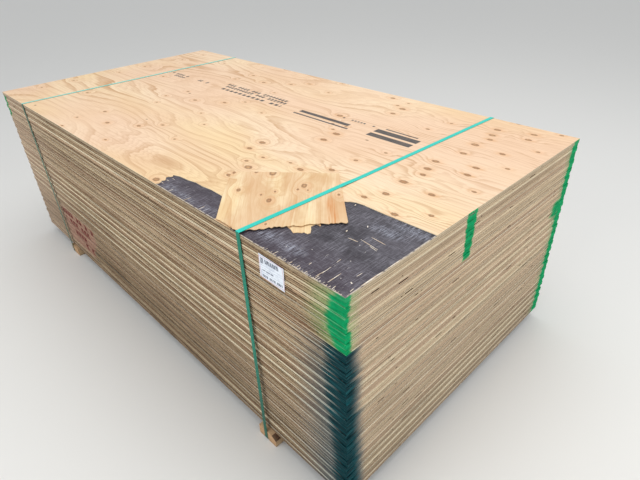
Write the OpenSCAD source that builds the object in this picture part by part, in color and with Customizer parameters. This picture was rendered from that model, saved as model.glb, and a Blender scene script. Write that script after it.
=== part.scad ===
// Strapped stack of plywood sheets on two timber bearers.
// The origin lies on the floor under the middle of the stack, X runs along the sheets and Z points up.

/* [Sheets] */
// Length of one sheet
sheet_l = 2440; // [1200:10:3000]
// Width of one sheet
sheet_w = 1220; // [900:10:1530]
// Thickness of one sheet
sheet_t = 15.7; // [9:0.05:25]
// Number of sheets in the stack
sheet_count = 49; // [20:1:60]
// Hairline gap between two sheets
sheet_gap = 0.3; // [0.1:0.05:0.6]
// How far a sheet may lie out of line with the stack
sheet_shift = 2; // [0:0.1:4]

/* [Core gaps] */
// Number of plies in a sheet
ply_count = 5; // [5:2:9]
// Gaps that show in the inner plies along one long edge of a sheet
long_gaps = 2; // [0:1:4]
// Gaps that show in the middle ply at one end of a sheet
end_gaps = 1; // [0:1:3]
// Length of the longest gap
core_gap_l = 42; // [15:1:80]
// Depth of a gap into the sheet
core_gap_d = 9; // [3:1:30]

/* [Torn face] */
// Thickness of the face veneer that is torn away at one corner
face_t = 1.6; // [0.8:0.1:3]
// How far the torn fibres reach along the grain
fibre_l = 9; // [0:0.5:15]
// Distance between two torn fibres
fibre_gap = 8; // [6:1:20]

/* [Loose veneer] */
// Length of the loose piece of veneer along its grain
flap_l = 380; // [250:5:420]
// Width of the loose piece across its grain
flap_w = 357; // [250:5:400]
// Thickness of the loose piece
flap_t = 1.6; // [0.8:0.1:3]
// Turn of its grain from the length of the sheets
flap_turn = 44.5; // [38:0.5:52]
// How far its torn end curls up
flap_lift = 3; // [1:0.5:8]
// Thickness of the splinter under its torn end
splinter_t = 1.2; // [0.6:0.1:2]

/* [Bearers] */
// Width of a bearer
bearer_w = 89; // [70:1:120]
// Height of a bearer
bearer_h = 44; // [30:1:100]
// How far each end of the near bearer stands proud of the sheets
near_reach = 17; // [8:1:120]
// How far each end of the far bearer stands proud of the sheets
far_reach = 13; // [8:1:120]
// Radius of the long edges of a bearer
bearer_edge_r = 2.5; // [1:0.5:5]
// Width of the wane along one top edge of the near bearer
wane_w = 18; // [6:1:24]
// Height of the wane
wane_h = 13; // [6:1:20]
// Width of the strap groove under a bearer
groove_w = 26; // [22:1:40]
// Depth of the strap groove
groove_d = 5; // [3:0.5:10]

/* [Straps] */
// Width of a strap
strap_w = 16; // [12:1:19]
// Thickness of a strap
strap_t = 1; // [0.6:0.1:1.3]
// Length of the welded overlap on the back of the stack
weld_l = 70; // [40:5:120]
// Clearance between a strap, a sheet, a bearer or the veneer and what it lies on
seat_gap = 0.3; // [0.1:0.05:0.5]

/* [Label] */
// Width of the paper label
label_w = 98; // [60:1:140]
// Height of the paper label
label_h = 74; // [50:1:100]
// Thickness of the paper
label_t = 0.3; // [0.2:0.05:0.5]
// Distance from the top of the stack down to the label
label_drop = 24; // [10:1:80]
// Tilt of the label
label_tilt = 2; // [-5:0.5:5]

/* [Hidden] */

// One overrun for every cut
over = 2;

// Places along the stack, as shares of half its length, and across it, as shares of half its width
near_bearer_share = 0.7053;
far_bearer_share = -0.6869;
near_back_share = 0.7193;
near_front_share = 0.6844;
far_back_share = -0.705;
far_front_share = -0.7377;
label_share = 0.7918;
flap_x_share = 0.5166;

// Place of the splinter, as shares of the loose veneer's length and width
splinter_u_share = 0.976;
splinter_v_share = 0.2035;

// Place of each strap across its bearer, as a share of the bearer's width
near_foot_share = -0.084;
far_foot_share = -0.27;

// How far each sheet lies out of line, as shares of sheet_shift that repeat up the stack
shift_x_shares = [0.2, -0.5, 0.6, -0.1, 1, -0.7, 0.3, -1, 0.5, -0.2, 0.8];
shift_y_shares = [-0.4, 0.3, -0.8, 0.6, 0.1, -1, 0.7, -0.2, 0.4, -0.6, 1, -0.3, 0.5];

// Edge of the torn face, as shares of half the length and half the width of a sheet
torn_shares = [
    [1, -0.444], [0.93, -0.448], [0.86, -0.452], [0.80, -0.451], [0.779, -0.456], [0.765, -0.470],
    [0.745, -0.504], [0.70, -0.543], [0.63, -0.621], [0.568, -0.778], [0.518, -0.845],
    [0.463, -0.843], [0.428, -0.851], [0.398, -0.849], [0.369, -0.861], [0.331, -0.867],
    [0.311, -0.882], [0.317, -0.902], [0.309, -0.921], [0.322, -0.941], [0.318, -0.961],
    [0.325, -0.975], [0.323, -1]
];

// Outline of the loose veneer, as shares of its length along the grain and its width across it
flap_shares = [
    [0, -0.495], [0.463, -0.5], [0.813, -0.483], [0.92, -0.372], [0.977, -0.317], [0.995, -0.234],
    [0.988, -0.185], [0.98, -0.13], [0.975, -0.078], [0.961, 0], [0.952, 0.069], [0.955, 0.14],
    [0.946, 0.209], [0.935, 0.29], [0.939, 0.368], [0.93, 0.44], [0.934, 0.50], [0.925, 0.532],
    [0.106, 0.49]
];
// Where the curl of the loose veneer begins, as a share of its length
curl_start_share = 0.3;
curl_steps = 20;

// Outline of the splinter, as shares of its length and width
splinter_l = 86;
splinter_w = 52;
splinter_turn = 90 - flap_turn;
splinter_shares = [
    [-0.56, 0.4], [-0.52, 0.18], [-0.42, -0.04], [-0.33, -0.39], [-0.19, -0.36], [-0.065, -0.42],
    [-0.005, -0.36], [0.107, -0.53], [0.2, -0.44], [0.217, -0.1], [0.207, 0.18], [0.36, 0.39],
    [0.46, 0.28], [0.49, 0.16], [0.52, 0.3], [0.46, 0.52]
];

// Shortest core gap, as a share of the longest, and a gap's height, as a share of its ply
shortest_gap_share = 0.2;
gap_height_share = 0.8;

sheet_pitch = sheet_t + sheet_gap;
ply_t = sheet_t / ply_count;
mid_ply = floor(ply_count / 2);
stack_z = bearer_h + seat_gap;
top_i = sheet_count - 1;
top_z = stack_z + top_i * sheet_pitch + sheet_t;
near_x = near_bearer_share * sheet_l / 2;
far_x = far_bearer_share * sheet_l / 2;

function shift_x(i) = sheet_shift * shift_x_shares[i % len(shift_x_shares)];
function shift_y(i) = sheet_shift * shift_y_shares[i % len(shift_y_shares)];

// A list of shares turned into points of a plate l long and w wide
function scaled(shares, l, w) = [for (s = shares) [s.x * l, s.y * w]];

// Place of the loose veneer: u runs along its grain, v across it, and its lowest corner just passes
// the long edge of the sheets
flap_u = [cos(flap_turn), -sin(flap_turn)];
flap_v = [sin(flap_turn), cos(flap_turn)];
flap_outline = torn(scaled(flap_shares, flap_l, flap_w), 200);
flap_drop = max([for (p = flap_outline) -(p.x * flap_u + p.y * flap_v).y]);
function flap_point(share) = share.x * flap_l * flap_u + share.y * flap_w * flap_v;
flap_place = [flap_x_share * sheet_l / 2, flap_drop - (sheet_w + sheet_shift) / 2];
splinter_place = flap_place + flap_point([splinter_u_share, splinter_v_share]);

// Height of its underside over the top sheet, at a share of its length
function curl_share(u) = max(0, (u - curl_start_share) / (1 - curl_start_share));
function curl(u) = flap_lift * pow(min(1, curl_share(u)), 1.6);
function flap_z(point) = top_z + seat_gap + flap_t + curl((point - flap_place) * flap_u / flap_l);

// Points every fibre_gap along an open outline, pulled along its first axis where it runs across it
function torn(points, seed) = [
    for (i = [0 : len(points) - 2])
        let (a = points[i], b = points[i + 1], n = ceil(norm(b - a) / fibre_gap),
             pulls = rands(-fibre_l / 2, fibre_l / 2, n, seed + i),
             across = abs(b.y - a.y) / norm(b - a))
        for (k = [0 : n - 1])
            a + (b - a) * k / n + [k == 0 ? 0 : pulls[k] * across, 0],
    points[len(points) - 1]
];

// Gaps between the strips of an inner ply, cut into one edge that is l long and looks along -Y
module core_gaps(l, w, count, plies, seed) {
    places = rands(-l / 2 + core_gap_l, l / 2 - core_gap_l, count, seed);
    length_shares = rands(shortest_gap_share, 1, count, seed + 1);
    for (k = [0 : 1 : count - 1]) {
        gap_l = core_gap_l * length_shares[k];
        ply = plies[k % 2];
        translate([places[k] - gap_l / 2, -w / 2 - over, ply_t * (ply + (1 - gap_height_share) / 2)])
            cube([gap_l, core_gap_d + over, ply_t * gap_height_share]);
    }
}

module sheet(i) {
    translate([shift_x(i), shift_y(i), stack_z + i * sheet_pitch])
        difference() {
            translate([-sheet_l / 2, -sheet_w / 2, 0])
                cube([sheet_l, sheet_w, sheet_t]);
            for (side = [0, 1]) {
                rotate(side * 180)
                    core_gaps(sheet_l, sheet_w, long_gaps, [1, ply_count - 2], 4 * i + side);
                rotate(90 + side * 180)
                    core_gaps(sheet_w, sheet_l, end_gaps, [mid_ply, mid_ply], 4 * i + 2 + side);
            }
        }
}

module plywood_sheets() {
    color("burlywood")
        for (i = [0 : top_i - 1]) sheet(i);
}

module top_sheet() {
    edge = torn(scaled(torn_shares, sheet_l / 2, sheet_w / 2), 100);
    past = sheet_shift + over;
    corner = [
        [sheet_l / 2 + past, edge[0].y], each edge,
        [edge[len(edge) - 1].x, -sheet_w / 2 - past], [sheet_l / 2 + past, -sheet_w / 2 - past]
    ];
    color("wheat")
        difference() {
            sheet(top_i);
            translate([0, 0, top_z - face_t])
                linear_extrude(face_t + over) polygon(corner);
        }
}

// A curled plate of veneer, cut to its torn outline
module loose_veneer() {
    steps = [for (k = [0 : curl_steps]) k / curl_steps];
    lower = [for (u = steps) [u * flap_l, curl(u)]];
    upper = [for (k = [curl_steps : -1 : 0]) [steps[k] * flap_l, curl(steps[k]) + flap_t]];
    color("navajowhite")
        translate([flap_place.x, flap_place.y, top_z + seat_gap])
            rotate(-flap_turn)
                intersection() {
                    translate([0, flap_w, 0])
                        rotate([90, 0, 0])
                            linear_extrude(2 * flap_w) polygon([each lower, each upper]);
                    linear_extrude(flap_lift + 2 * flap_t) polygon(flap_outline);
                }
}

module veneer_splinter() {
    color("navajowhite")
        translate([splinter_place.x, splinter_place.y, top_z - face_t + seat_gap])
            rotate(splinter_turn)
                linear_extrude(splinter_t) polygon(scaled(splinter_shares, splinter_l, splinter_w));
}

// A bearer with rounded long edges and a groove for the strap in its underside. Wane is the rough
// slope left where the board was cut near the bark.
module bearer(x, reach, foot_share, wane) {
    r = bearer_edge_r;
    length = sheet_w + 2 * reach;
    translate([x, length / 2, 0])
        rotate([90, 0, 0])
            linear_extrude(length)
                difference() {
                    translate([0, bearer_h / 2])
                        union() {
                            square([bearer_w, bearer_h - 2 * r], center = true);
                            square([bearer_w - 2 * r, bearer_h], center = true);
                            for (sx = [-1, 1], sz = [-1, 1])
                                translate([sx * (bearer_w / 2 - r), sz * (bearer_h / 2 - r)])
                                    circle(r, $fn = 32);
                        }
                    translate([foot_share * bearer_w - groove_w / 2, -over])
                        square([groove_w, groove_d + over]);
                    polygon([
                        [bearer_w / 2 - wane.x, bearer_h + over], [bearer_w / 2 - wane.x, bearer_h],
                        [bearer_w / 2, bearer_h - wane.y], [bearer_w / 2 + over, bearer_h - wane.y],
                        [bearer_w / 2 + over, bearer_h + over]
                    ]);
                }
}

module bearer_near() {
    color("tan") bearer(near_x, near_reach, near_foot_share, [wane_w, wane_h]);
}

module bearer_far() {
    color("tan") bearer(far_x, far_reach, far_foot_share, [0, 0]);
}

// A strap is swept along the corners of its route. Each corner is [place, weld], and weld is 1 where
// the two ends of the band lie on each other.
strap_off = seat_gap + strap_t / 2;
// Length over which the near strap comes down off the loose veneer
climb_run = 60;
// Places where it rests on the loose veneer, as shares of the way from the long edge to the climb
rest_shares = [0.08, 0.25, 0.5, 0.75, 1];
bend_r = strap_t / 2 + 2 * seat_gap;
bend_steps = 4;

function unit(v) = v / norm(v);
function bend(a, p, b) =
    let (cut = min(bend_r, norm(a - p) / 3, norm(b - p) / 3),
         first = p + cut * unit(a - p), last = p + cut * unit(b - p))
    [for (k = [0 : bend_steps]) let (t = k / bend_steps)
        (1 - t) * (1 - t) * first + 2 * t * (1 - t) * p + t * t * last];

module band(route, welds) {
    n = len(route);
    points = [for (i = [0 : n - 1])
        each bend(route[(i + n - 1) % n], route[i], route[(i + 1) % n])];
    doubled = [for (i = [0 : n - 1], k = [0 : bend_steps]) welds[i]];
    m = len(points);
    rings = [for (i = [0 : m - 1])
        let (along = unit(points[(i + 1) % m] - points[(i + m - 1) % m]),
             side = unit([1, 0, 0] - along.x * along),
             out = cross(side, along),
             half = side * strap_w / 2,
             inner = -out * strap_t / 2,
             outer = out * strap_t * (0.5 + doubled[i]))
        each [points[i] - half + inner, points[i] + half + inner,
              points[i] + half + outer, points[i] - half + outer]];
    faces = [for (i = [0 : m - 1], k = [0 : 3])
        let (a = 4 * i, b = 4 * ((i + 1) % m), next = (k + 1) % 4)
        each [[a + k, b + next, a + next], [a + k, b + k, b + next]]];
    polyhedron(rings, faces, convexity = 10);
}

function along(a, b, share) = a + (b - a) * share;

// Share of the way from a to b at which that line crosses the one from c to d
function cross_share(a, b, c, d) = cross(c - a, d - c) / cross(b - a, d - c);

// The route runs from the front foot up and over the top to the back foot
module strap(foot_x, front_x, back_x, reach, over_top, front_z) {
    side_y = sheet_w / 2 + sheet_shift + strap_off;
    foot_y = sheet_w / 2 + reach + strap_off;
    foot_z = groove_d - strap_off;
    back = [back_x, side_y, top_z + strap_off];
    back_foot = [foot_x, foot_y, bearer_h];
    weld_share = weld_l / norm(back_foot - back);
    step_share = strap_t / norm(back_foot - back);
    first_share = 1 / 4;
    weld_shares = [first_share, first_share + step_share, first_share + step_share + weld_share,
                   first_share + 2 * step_share + weld_share];
    route = [
        [foot_x, -foot_y, foot_z], [foot_x, -foot_y, bearer_h],
        [front_x, -side_y, front_z], each over_top, back,
        for (s = weld_shares) along(back, back_foot, s),
        back_foot, [foot_x, foot_y, foot_z]
    ];
    tops = len(over_top) + 4;
    welds = [for (i = [0 : len(route) - 1]) i > tops && i < tops + 3 ? 1 : 0];
    band(route, welds);
}

// The near strap climbs over the loose veneer, from the edge that its grain runs along
module strap_near() {
    front = [near_front_share * sheet_l / 2, -sheet_w / 2];
    back = [near_back_share * sheet_l / 2, sheet_w / 2];
    last = len(flap_shares) - 1;
    edge_share = cross_share(front, back, flap_place + flap_point(flap_shares[last]),
                             flap_place + flap_point(flap_shares[last - 1]));
    climb_share = edge_share + strap_w / norm(back - front);
    flat_share = climb_share + climb_run / norm(back - front);
    function at(share, z) = let (p = along(front, back, share)) [p.x, p.y, z];
    function raised(share) =
        let (p = along(front, back, share), half = [strap_w / 2, 0])
        max(flap_z(p + half), flap_z(p - half)) + strap_off;
    over_flap = [
        for (s = rest_shares) at(s * climb_share, raised(s * climb_share)),
        at(flat_share, top_z + strap_off)
    ];
    color("turquoise")
        strap(near_x + near_foot_share * bearer_w, front.x, back.x, near_reach, over_flap, raised(0));
}

module strap_far() {
    front_x = far_front_share * sheet_l / 2;
    back_x = far_back_share * sheet_l / 2;
    color("turquoise")
        strap(far_x + far_foot_share * bearer_w, front_x, back_x, far_reach, [], top_z + strap_off);
}

// The label lies on the sheets that stand out most behind it
module label() {
    mid_z = top_z - label_drop - label_h / 2;
    low_i = floor((mid_z - label_h - stack_z) / sheet_pitch);
    proud = max([for (i = [low_i : top_i]) -shift_y(i)]);
    color("aliceblue")
        translate([label_share * sheet_l / 2, -sheet_w / 2 - proud - seat_gap, mid_z])
            rotate([90, label_tilt, 0])
                linear_extrude(label_t) square([label_w, label_h], center = true);
}

plywood_sheets();
top_sheet();
loose_veneer();
veneer_splinter();
bearer_near();
bearer_far();
strap_near();
strap_far();
label();
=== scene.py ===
import bpy
import math
import random
from mathutils import Matrix, Vector


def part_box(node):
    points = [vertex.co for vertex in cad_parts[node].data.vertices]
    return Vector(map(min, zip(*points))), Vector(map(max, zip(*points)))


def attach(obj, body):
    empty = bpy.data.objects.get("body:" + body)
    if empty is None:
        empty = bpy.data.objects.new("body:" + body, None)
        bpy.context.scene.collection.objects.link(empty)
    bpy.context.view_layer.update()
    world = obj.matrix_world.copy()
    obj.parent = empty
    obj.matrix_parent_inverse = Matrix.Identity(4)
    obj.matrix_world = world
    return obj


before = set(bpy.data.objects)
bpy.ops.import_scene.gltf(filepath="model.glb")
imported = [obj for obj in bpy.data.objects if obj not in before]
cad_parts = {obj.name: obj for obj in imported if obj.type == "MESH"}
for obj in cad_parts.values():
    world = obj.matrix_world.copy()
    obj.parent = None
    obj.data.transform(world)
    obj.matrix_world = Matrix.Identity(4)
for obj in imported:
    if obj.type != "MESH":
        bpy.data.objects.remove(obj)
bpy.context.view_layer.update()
print("loaded the packed stack")

# sizes taken from the frame, in metres
lowSheets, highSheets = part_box("plywood_sheets")
lowTop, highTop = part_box("top_sheet")
sheetThick = highTop.z - lowTop.z
sheetPitch = sheetThick + (lowTop.z - highSheets.z)
stackLow = lowSheets.z
stackHigh = highTop.z
halfLength = (highTop.x - lowTop.x) / 2
halfWidth = (highTop.y - lowTop.y) / 2

tree = None  # node tree of the material that is being filled


# node helpers: each adds one node to the tree above and hands back its output socket

def plug(value, socket):
    if isinstance(value, bpy.types.NodeSocket):
        tree.links.new(value, socket)
    elif value is not None:
        socket.default_value = value


def calc(operation, a, b=None, c=None, clamp=False):
    made = tree.nodes.new("ShaderNodeMath")
    made.operation = operation
    made.use_clamp = clamp
    for value, socket in zip((a, b, c), made.inputs):
        plug(value, socket)
    return made.outputs[0]


def add(a, b):
    return calc("ADD", a, b)


def less(a, b):
    return calc("SUBTRACT", a, b)


def times(a, b):
    return calc("MULTIPLY", a, b)


def size(a):
    return calc("ABSOLUTE", a)


def most(a, b):
    return calc("MAXIMUM", a, b)


def vecCalc(operation, a, b=None, c=None):
    made = tree.nodes.new("ShaderNodeVectorMath")
    made.operation = operation
    for value, socket in zip((a, b, c), made.inputs):
        plug(value, socket)
    return made.outputs["Value"] if operation in ("LENGTH", "DISTANCE", "DOT_PRODUCT") else made.outputs[0]


def vector(x, y, z=0.0):
    made = tree.nodes.new("ShaderNodeCombineXYZ")
    for value, socket in zip((x, y, z), made.inputs):
        plug(value, socket)
    return made.outputs[0]


def split(value):
    made = tree.nodes.new("ShaderNodeSeparateXYZ")
    plug(value, made.inputs[0])
    return made.outputs[0], made.outputs[1], made.outputs[2]


def noise(where, scale=1.0, detail=2.0, rough=0.5, warp=0.0):
    made = tree.nodes.new("ShaderNodeTexNoise")
    plug(where, made.inputs["Vector"])
    made.inputs["Scale"].default_value = scale
    made.inputs["Detail"].default_value = detail
    made.inputs["Roughness"].default_value = rough
    made.inputs["Distortion"].default_value = warp
    return made.outputs[0]


def grain(a, b, scaleA, scaleB, detail=2.0, rough=0.5, seed=0.0):
    # noise stretched differently in two directions
    return noise(vector(times(a, scaleA), times(b, scaleB), seed), 1.0, detail, rough)


def cells(where, scale, feature="F1", spread=1.0):
    made = tree.nodes.new("ShaderNodeTexVoronoi")
    made.feature = feature
    plug(where, made.inputs["Vector"])
    made.inputs["Scale"].default_value = scale
    made.inputs["Randomness"].default_value = spread
    return made.outputs["Distance"]


def chance(where):
    made = tree.nodes.new("ShaderNodeTexWhiteNoise")
    plug(where, made.inputs["Vector"])
    return made.outputs["Value"]


def ease(value, low, high, fromShare=0.0, toShare=1.0):
    made = tree.nodes.new("ShaderNodeMapRange")
    made.interpolation_type = "SMOOTHSTEP"
    for share, socket in zip((value, low, high, fromShare, toShare), made.inputs):
        plug(share, socket)
    return made.outputs[0]


def within(value, low, high, soft):
    # 1 between low and high, with soft ends
    return times(ease(value, low - soft, low + soft), ease(value, high - soft, high + soft, 1.0, 0.0))


def mix(share, a, b, blend="MIX"):
    made = tree.nodes.new("ShaderNodeMix")
    made.data_type = "RGBA"
    made.blend_type = blend
    plug(share, made.inputs[0])
    plug(a, made.inputs[6])
    plug(b, made.inputs[7])
    return made.outputs[2]


def blendValue(share, a, b):
    made = tree.nodes.new("ShaderNodeMix")
    plug(share, made.inputs[0])
    plug(a, made.inputs[2])
    plug(b, made.inputs[3])
    return made.outputs[0]


def shade(red, green, blue):
    # a colour as read off a picture, 0 to 255, made linear
    linear = [c / 255 / 12.92 if c / 255 <= 0.04045 else ((c / 255 + 0.055) / 1.055) ** 2.4
              for c in (red, green, blue)]
    return (*linear, 1.0)


def ramp(value, stops, curve="LINEAR"):
    made = tree.nodes.new("ShaderNodeValToRGB")
    made.color_ramp.interpolation = curve
    marks = made.color_ramp.elements
    while len(marks) < len(stops):
        marks.new(0.5)
    for mark, (place, colour) in zip(marks, stops):
        mark.position = place
        mark.color = colour
    plug(value, made.inputs[0])
    return made.outputs[0]


def bump(height, distance, strength=1.0, under=None):
    made = tree.nodes.new("ShaderNodeBump")
    made.inputs["Strength"].default_value = strength
    made.inputs["Distance"].default_value = distance
    plug(height, made.inputs["Height"])
    plug(under, made.inputs["Normal"])
    return made.outputs[0]


def place():
    made = tree.nodes.new("ShaderNodeTexCoord")
    return made.outputs["Object"], made.outputs["Normal"]


def startMaterial(name, roughness, gloss=0.5):
    global tree
    material = bpy.data.materials.new(name)
    material.use_nodes = True
    tree = material.node_tree
    surface = tree.nodes["Principled BSDF"]
    surface.inputs["Roughness"].default_value = roughness
    surface.inputs["Specular IOR Level"].default_value = gloss
    return material, surface


def dress(piece, material):
    piece.data.materials.clear()
    piece.data.materials.append(material)


# the camera stands where the photograph was taken from

cameraSpot = dict(
    place=(1.79016, -1.20933, 1.46172 + stackLow),
    right=(0.69825, 0.71500, -0.03504),
    up=(-0.36583, 0.39847, 0.84107),
    focalPixels=493.53, imageWidth=640, sensor=36.0,
)


def addCamera():
    lens = bpy.data.cameras.new("camera")
    lens.sensor_width = cameraSpot["sensor"]
    lens.lens = cameraSpot["focalPixels"] * cameraSpot["sensor"] / cameraSpot["imageWidth"]
    camera = bpy.data.objects.new("camera", lens)
    bpy.context.scene.collection.objects.link(camera)
    right = Vector(cameraSpot["right"]).normalized()
    up = Vector(cameraSpot["up"]).normalized()
    turn = Matrix((right, up, right.cross(up))).transposed().to_4x4()
    camera.matrix_world = Matrix.Translation(cameraSpot["place"]) @ turn
    bpy.context.scene.camera = camera


studio = dict(
    worldColour=(0.95, 0.97, 1.0, 1.0), worldStrength=0.7,
    keyPlace=(0.4, 0.6, 4.4), keySize=3.6, keyPower=67,
    sidePlace=(4.8, 0.4, 2.4), sideSize=2.8, sidePower=62,
    fillPlace=(0.2, -4.6, 2.6), fillSize=3.0, fillPower=62,
    floorColour=shade(226, 225, 221), floorSize=80.0,
)


def addLamp(name, spot, width, power, aim):
    lamp = bpy.data.lights.new(name, "AREA")
    lamp.shape = "SQUARE"
    lamp.size = width
    lamp.energy = power
    thing = bpy.data.objects.new(name, lamp)
    bpy.context.scene.collection.objects.link(thing)
    thing.location = spot
    thing.rotation_euler = (Vector(aim) - Vector(spot)).to_track_quat("-Z", "Y").to_euler()


def addStudio():
    scene = bpy.context.scene
    scene.view_settings.view_transform = "Standard"
    world = bpy.data.worlds.new("world")
    world.use_nodes = True
    sky = world.node_tree.nodes["Background"]
    sky.inputs[0].default_value = studio["worldColour"]
    sky.inputs[1].default_value = studio["worldStrength"]
    scene.world = world
    middle = (0, 0, stackHigh / 2)
    addLamp("keyLamp", studio["keyPlace"], studio["keySize"], studio["keyPower"], middle)
    addLamp("sideLamp", studio["sidePlace"], studio["sideSize"], studio["sidePower"], middle)
    addLamp("fillLamp", studio["fillPlace"], studio["fillSize"], studio["fillPower"], middle)
    bpy.ops.mesh.primitive_plane_add(size=studio["floorSize"])
    floor = bpy.context.object
    floor.name = "floor"
    material, surface = startMaterial("paleFloor", 0.8)
    surface.inputs["Base Color"].default_value = studio["floorColour"]
    dress(floor, material)


addCamera()
addStudio()
print("camera, lamps and floor are in place")


# edges of the sheets: plies, glue lines and saw marks, all worked out from the height in the stack.
# The sheets lie face to face in pairs, so two light face plies meet at every second joint.

edgeLook = dict(
    cuts=(0.13, 0.38, 0.62, 0.87),  # where one ply ends and the next begins, back to face
    longGrain=[(0.0, shade(112, 86, 64)), (0.45, shade(178, 150, 120)), (1.0, shade(226, 204, 172))],
    endGrain=[(0.0, shade(52, 38, 28)), (0.45, shade(132, 106, 82)), (1.0, shade(204, 180, 150))],
    # the light end colour is painted light, standing for the light that falls on the end faces
    endPaintedLight=shade(240, 219, 192), endShare=0.34,
    face=shade(255, 244, 216), ledge=shade(255, 242, 216), glue=shade(74, 52, 36), farPinkGrey=shade(204, 180, 160),
    # the slit and hollow colours are painted shade, dark where slits, core gaps and recesses lie in shadow
    slitShade=shade(42, 28, 18), hollowShade=shade(26, 18, 12), nickSpan=0.09, nickChance=0.93,
    warm=(1.0, 0.955, 0.925, 1.0), cool=(0.96, 1.0, 0.95, 1.0),
)


def facing(where, normal):
    # how far a point faces up, and whether it is on an end; a step belongs to the side it is nearest to
    x, y, z = split(where)
    nx, ny, nz = split(normal)
    up = ease(nz, 0.5, 0.6)
    nearEnd = calc("LESS_THAN", less(halfLength, size(x)), less(halfWidth, size(y)))
    return up, blendValue(up, ease(size(nx), 0.5, 0.6), nearEnd)


def edgeColour(where, normal):
    x, y, z = split(where)
    up, onEnd = facing(where, normal)
    along = blendValue(onEnd, x, y)
    level = calc("DIVIDE", less(z, stackLow), sheetPitch)
    number = calc("FLOOR", level)
    odd = calc("MODULO", number, 2.0)
    rise = calc("MULTIPLY", calc("FRACT", level), sheetPitch / sheetThick, clamp=True)
    share = blendValue(odd, rise, less(1.0, rise))
    ply = 0.0
    toGlue = 1.0
    for cut in edgeLook["cuts"]:
        ply = add(calc("GREATER_THAN", share, cut), ply)
        toGlue = calc("MINIMUM", size(less(share, cut)), toGlue)
    crossed = calc("MODULO", ply, 2.0)
    endGrain = size(less(crossed, onEnd))
    sheetChance = chance(vector(number, onEnd, 3.0))
    plyChance = chance(vector(number, ply, onEnd))
    offset = times(plyChance, 40.0)

    fibres = noise(vector(times(along, 5.0), offset, times(z, 1100.0)), 1.0, 4.0, 0.62)
    pores = noise(vector(times(along, 260.0), offset, times(z, 330.0)), 1.0, 3.0, 0.7)
    ticks = noise(vector(times(along, 160.0), offset, times(z, 26.0)), 1.0, 2.0, 0.6)
    streaks = noise(vector(times(along, 7.0), offset, times(z, 200.0)), 1.0, 2.0, 0.5)
    tone = add(times(less(plyChance, 0.5), 0.5), times(less(sheetChance, 0.5), 0.3))
    tone = times(add(tone, times(less(streaks, 0.5), 0.8)), blendValue(onEnd, 1.0, 1.05))
    lengthwise = ramp(add(ease(fibres, 0.28, 0.72), tone), edgeLook["longGrain"])
    sawn = add(add(times(pores, 0.25), times(ticks, 0.25)), times(fibres, 0.5))
    crosswise = ramp(add(ease(sawn, 0.32, 0.68), tone), edgeLook["endGrain"])
    colour = mix(endGrain, lengthwise, crosswise)
    # painted light: the end faces are mixed towards a lighter colour, and their tone is lifted a little above, for the
    # light falling on them
    colour = mix(times(onEnd, edgeLook["endShare"]), colour, edgeLook["endPaintedLight"])

    # light line of the two face plies, stronger at some joints than at others
    joint = add(times(calc("FLOOR", times(number, 0.5)), 2.0), 1.0)
    jointChance = chance(vector(joint, 5.0, onEnd))
    fade = grain(along, joint, 1.6, 3.7, 2.0)
    strength = times(ease(jointChance, 0.1, 0.6, 0.6, 1.0), ease(fade, 0.35, 0.5, 0.75, 1.0))
    worn = times(ease(less(z, stackLow), 0.1, 0.4, 1.0, 0.0), ease(x, 0.3, 1.0, 0.9, 0.1))
    strength = times(strength, blendValue(onEnd, less(1.0, worn), 0.6))
    faceSide = ease(share, edgeLook["cuts"][3] - 0.03, edgeLook["cuts"][3] + 0.02)
    bright = times(faceSide, strength)
    colour = mix(times(bright, 0.95), colour, edgeLook["face"])

    # dark glue lines, and a darker line where two backs meet
    patchy = ease(streaks, 0.36, 0.6, 0.35, 1.0)
    glue = times(ease(toGlue, 0.016, 0.042, 1.0, 0.0), patchy)
    backs = times(ease(share, 0.03, 0.075, 1.0, 0.0), ease(fade, 0.4, 0.6, 1.0, 0.45))
    glue = times(most(glue, backs), blendValue(onEnd, 0.85, 0.8))
    colour = mix(glue, colour, edgeLook["glue"])

    # painted shade: slits where two sheets don't quite touch, and short gaps between the strips of an inner ply, are
    # coloured dark for the shadow inside them
    toJoint = times(calc("MINIMUM", share, less(1.0, share)), sheetThick)
    joints = calc("ROUND", level)
    parted = ease(grain(along, joints, 1.3, 7.3, 3.0, 0.6, 9.0), 0.56, 0.62)
    slitShade = times(parted, ease(toJoint, 0.0006, 0.0013, 1.0, 0.0))
    span = calc("DIVIDE", along, edgeLook["nickSpan"])
    nick = chance(vector(calc("FLOOR", span), add(times(number, 5.0), ply), add(onEnd, 20.0)))
    nickHalf = times(less(nick, edgeLook["nickChance"]), 0.05 / (1 - edgeLook["nickChance"]))
    nick = times(calc("LESS_THAN", size(less(calc("FRACT", span), 0.5)), nickHalf),
                 times(calc("GREATER_THAN", endGrain, 0.5), calc("LESS_THAN", size(less(ply, 2.0)), 1.5)))
    slitShade = most(slitShade, nick)
    colour = mix(times(slitShade, 0.9), colour, edgeLook["slitShade"])

    tint = ramp(chance(vector(number, 8.0, 1.0)), [(0.0, edgeLook["warm"]), (1.0, edgeLook["cool"])])
    colour = mix(0.9, colour, tint, "MULTIPLY")
    wide = noise(vector(times(along, 2.0), times(z, 5.0), onEnd), 1.0, 3.0)
    colour = mix(1.0, colour, ramp(wide, [(0.3, (0.9, 0.885, 0.87, 1)), (0.65, (1, 1, 1, 1))]), "MULTIPLY")
    # painted shade: darker towards the floor, with the top sheet's edge also a little darker; painted light lifts the
    # upper long face towards the near corner
    low = times(ease(less(z, stackLow), 0.0, 0.5, 0.74, 1.0), ease(less(stackHigh, z), 0.012, 0.03, 0.86, 1.0))
    paintedCornerLight = times(ease(x, 0.6, 1.12, 0.0, 0.13), ease(less(stackHigh, z), 0.15, 0.4, 1.0, 0.0))
    low = times(low, add(times(paintedCornerLight, less(1.0, onEnd)), 1.0))
    colour = mix(1.0, colour, vector(low, low, low), "MULTIPLY")
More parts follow.
